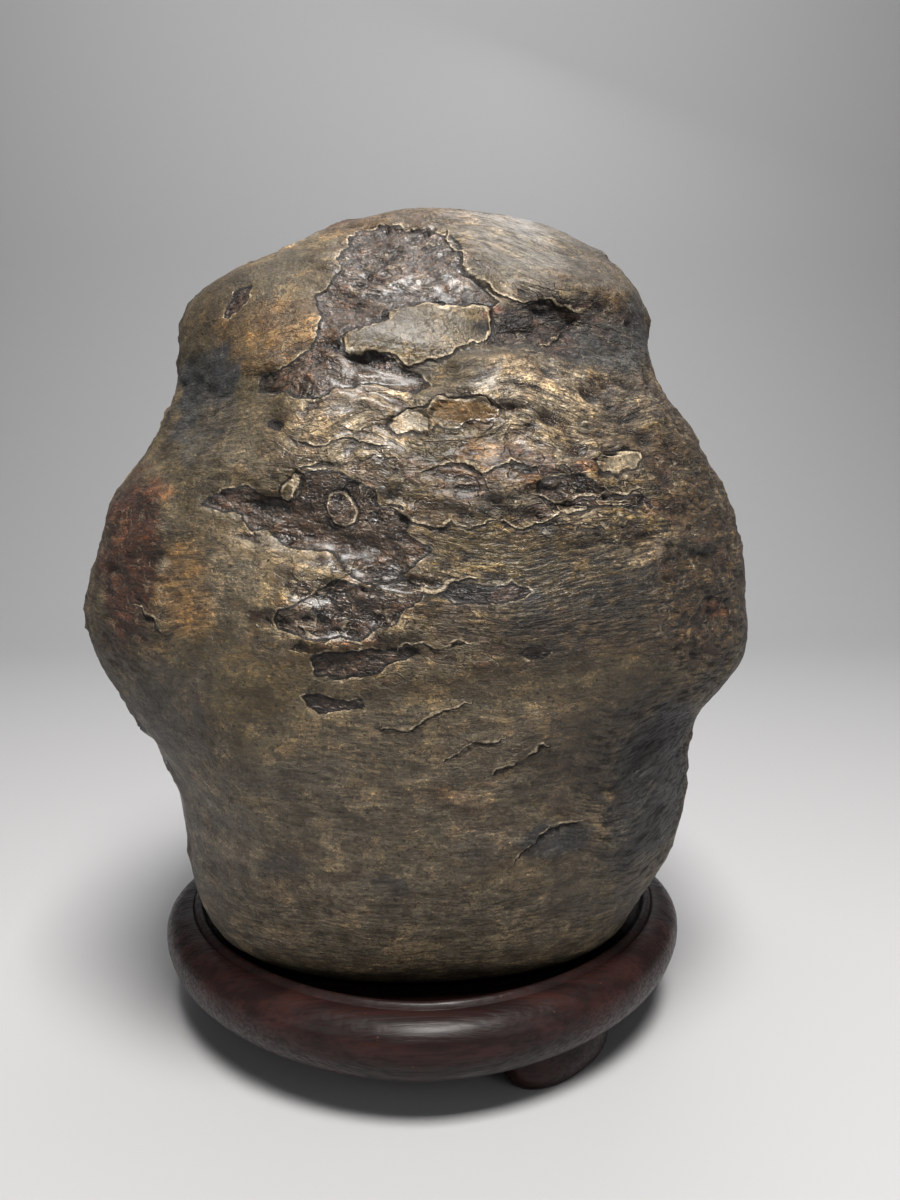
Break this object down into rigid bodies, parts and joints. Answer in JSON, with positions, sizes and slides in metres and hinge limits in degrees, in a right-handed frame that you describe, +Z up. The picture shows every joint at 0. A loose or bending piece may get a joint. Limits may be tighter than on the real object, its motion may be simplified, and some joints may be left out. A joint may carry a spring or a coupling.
{
  "type": "scholars rock on a carved wood stand",
  "caption": "Waist-narrowed brown viewing stone with flaked, waxed skin, standing in the carved seat of a dark rosewood stand.",
  "frame": {"origin": "on the table under the middle of the object's bounding box", "axes": "+Z up, -Y the show face, +X to the show face's right as seen"},
  "size_m": [0.1774, 0.16, 0.2186],
  "materials": {
    "waxed_stone": "waxed, satin with glossy flaked places",
    "dark_rosewood": "polished, satin gloss"
  },
  "bodies": {
    "root": {"scholars_rock": "waxed_stone", "carved_wood_stand": "dark_rosewood"}
  },
  "joints": []
}
